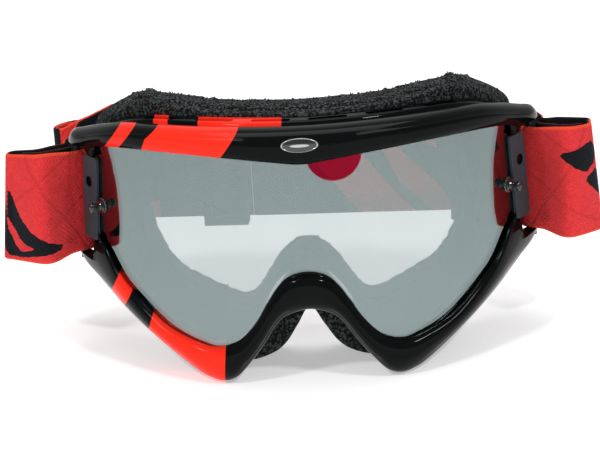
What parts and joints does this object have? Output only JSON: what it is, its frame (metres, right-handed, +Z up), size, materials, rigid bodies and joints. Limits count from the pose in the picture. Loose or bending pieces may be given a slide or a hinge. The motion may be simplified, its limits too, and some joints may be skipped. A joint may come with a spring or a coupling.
{
  "type": "motorcycle goggles",
  "caption": "Off-road goggles: moulded frame around a curved mirrored lens with tear-off posts, layered face foam and a folded elastic strap with ladder sliders",
  "frame": {"origin": "middle of the face foam's rear surface, in the mid-plane, at the height of the tear-off posts", "axes": "+X runs across the face along the longest extent, +Y points from the lens towards the wearer's face, +Z is up"},
  "size_m": [0.2249, 0.1019, 0.099],
  "materials": {
    "frame_gloss": "painted gloss black with red",
    "frame_rear": "gloss black with red",
    "plate_satin": "satin slate grey",
    "post_black": "moulded black",
    "badge": "domed resin over silver film",
    "lens_mirror": "clear polycarbonate with a light mirror coating",
    "pin_black": "moulded gloss black",
    "washer_clear": "clear silicone",
    "foam_grey": "closed-cell foam",
    "foam_black": "open-cell foam",
    "fleece": "short fleece",
    "vent_foam": "reticulated foam",
    "webbing": "elastic jacquard webbing, red and black",
    "thread": "sewing thread",
    "slider_black": "moulded black"
  },
  "bodies": {
    "goggles": {"front_frame": "frame_gloss", "rear_frame": "frame_rear", "left_side_plate": "plate_satin", "right_side_plate": "plate_satin", "left_strap_post": "post_black", "right_strap_post": "post_black", "brow_badge": "badge", "lens": "lens_mirror", "left_tearoff_post": "pin_black", "right_tearoff_post": "pin_black", "left_post_washer": "washer_clear", "right_post_washer": "washer_clear", "left_post_cap": "pin_black", "right_post_cap": "pin_black", "foam_base": "foam_grey", "foam_core": "foam_black", "face_fleece": "fleece", "top_vent_foam": "vent_foam", "left_vent_foam": "vent_foam", "right_vent_foam": "vent_foam"},
    "left_strap_half": {"left_strap": "webbing", "left_bartack": "thread"},
    "right_strap_half": {"right_strap": "webbing", "right_bartack": "thread"},
    "left_slide": {"left_slider": "slider_black"},
    "right_slide": {"right_slider": "slider_black"}
  },
  "joints": [
    {"name": "left_strap_pivot", "type": "hinge", "parent": "goggles", "child": "left_strap_half", "pos_m": [-0.086, 0.0165, 0], "axis": [0, 0, 1], "range_deg": [0, 24]},
    {"name": "right_strap_pivot", "type": "hinge", "parent": "goggles", "child": "right_strap_half", "pos_m": [0.086, 0.0165, 0], "axis": [0, 0, -1], "range_deg": [0, 24]},
    {"name": "left_slider_travel", "type": "slide", "parent": "left_strap_half", "child": "left_slide", "axis": [-0.9965, 0.084, 0], "range_m": [0, 0.04]},
    {"name": "right_slider_travel", "type": "slide", "parent": "right_strap_half", "child": "right_slide", "axis": [-0.9965, 0.084, 0], "range_m": [-0.004, 0.06]}
  ]
}
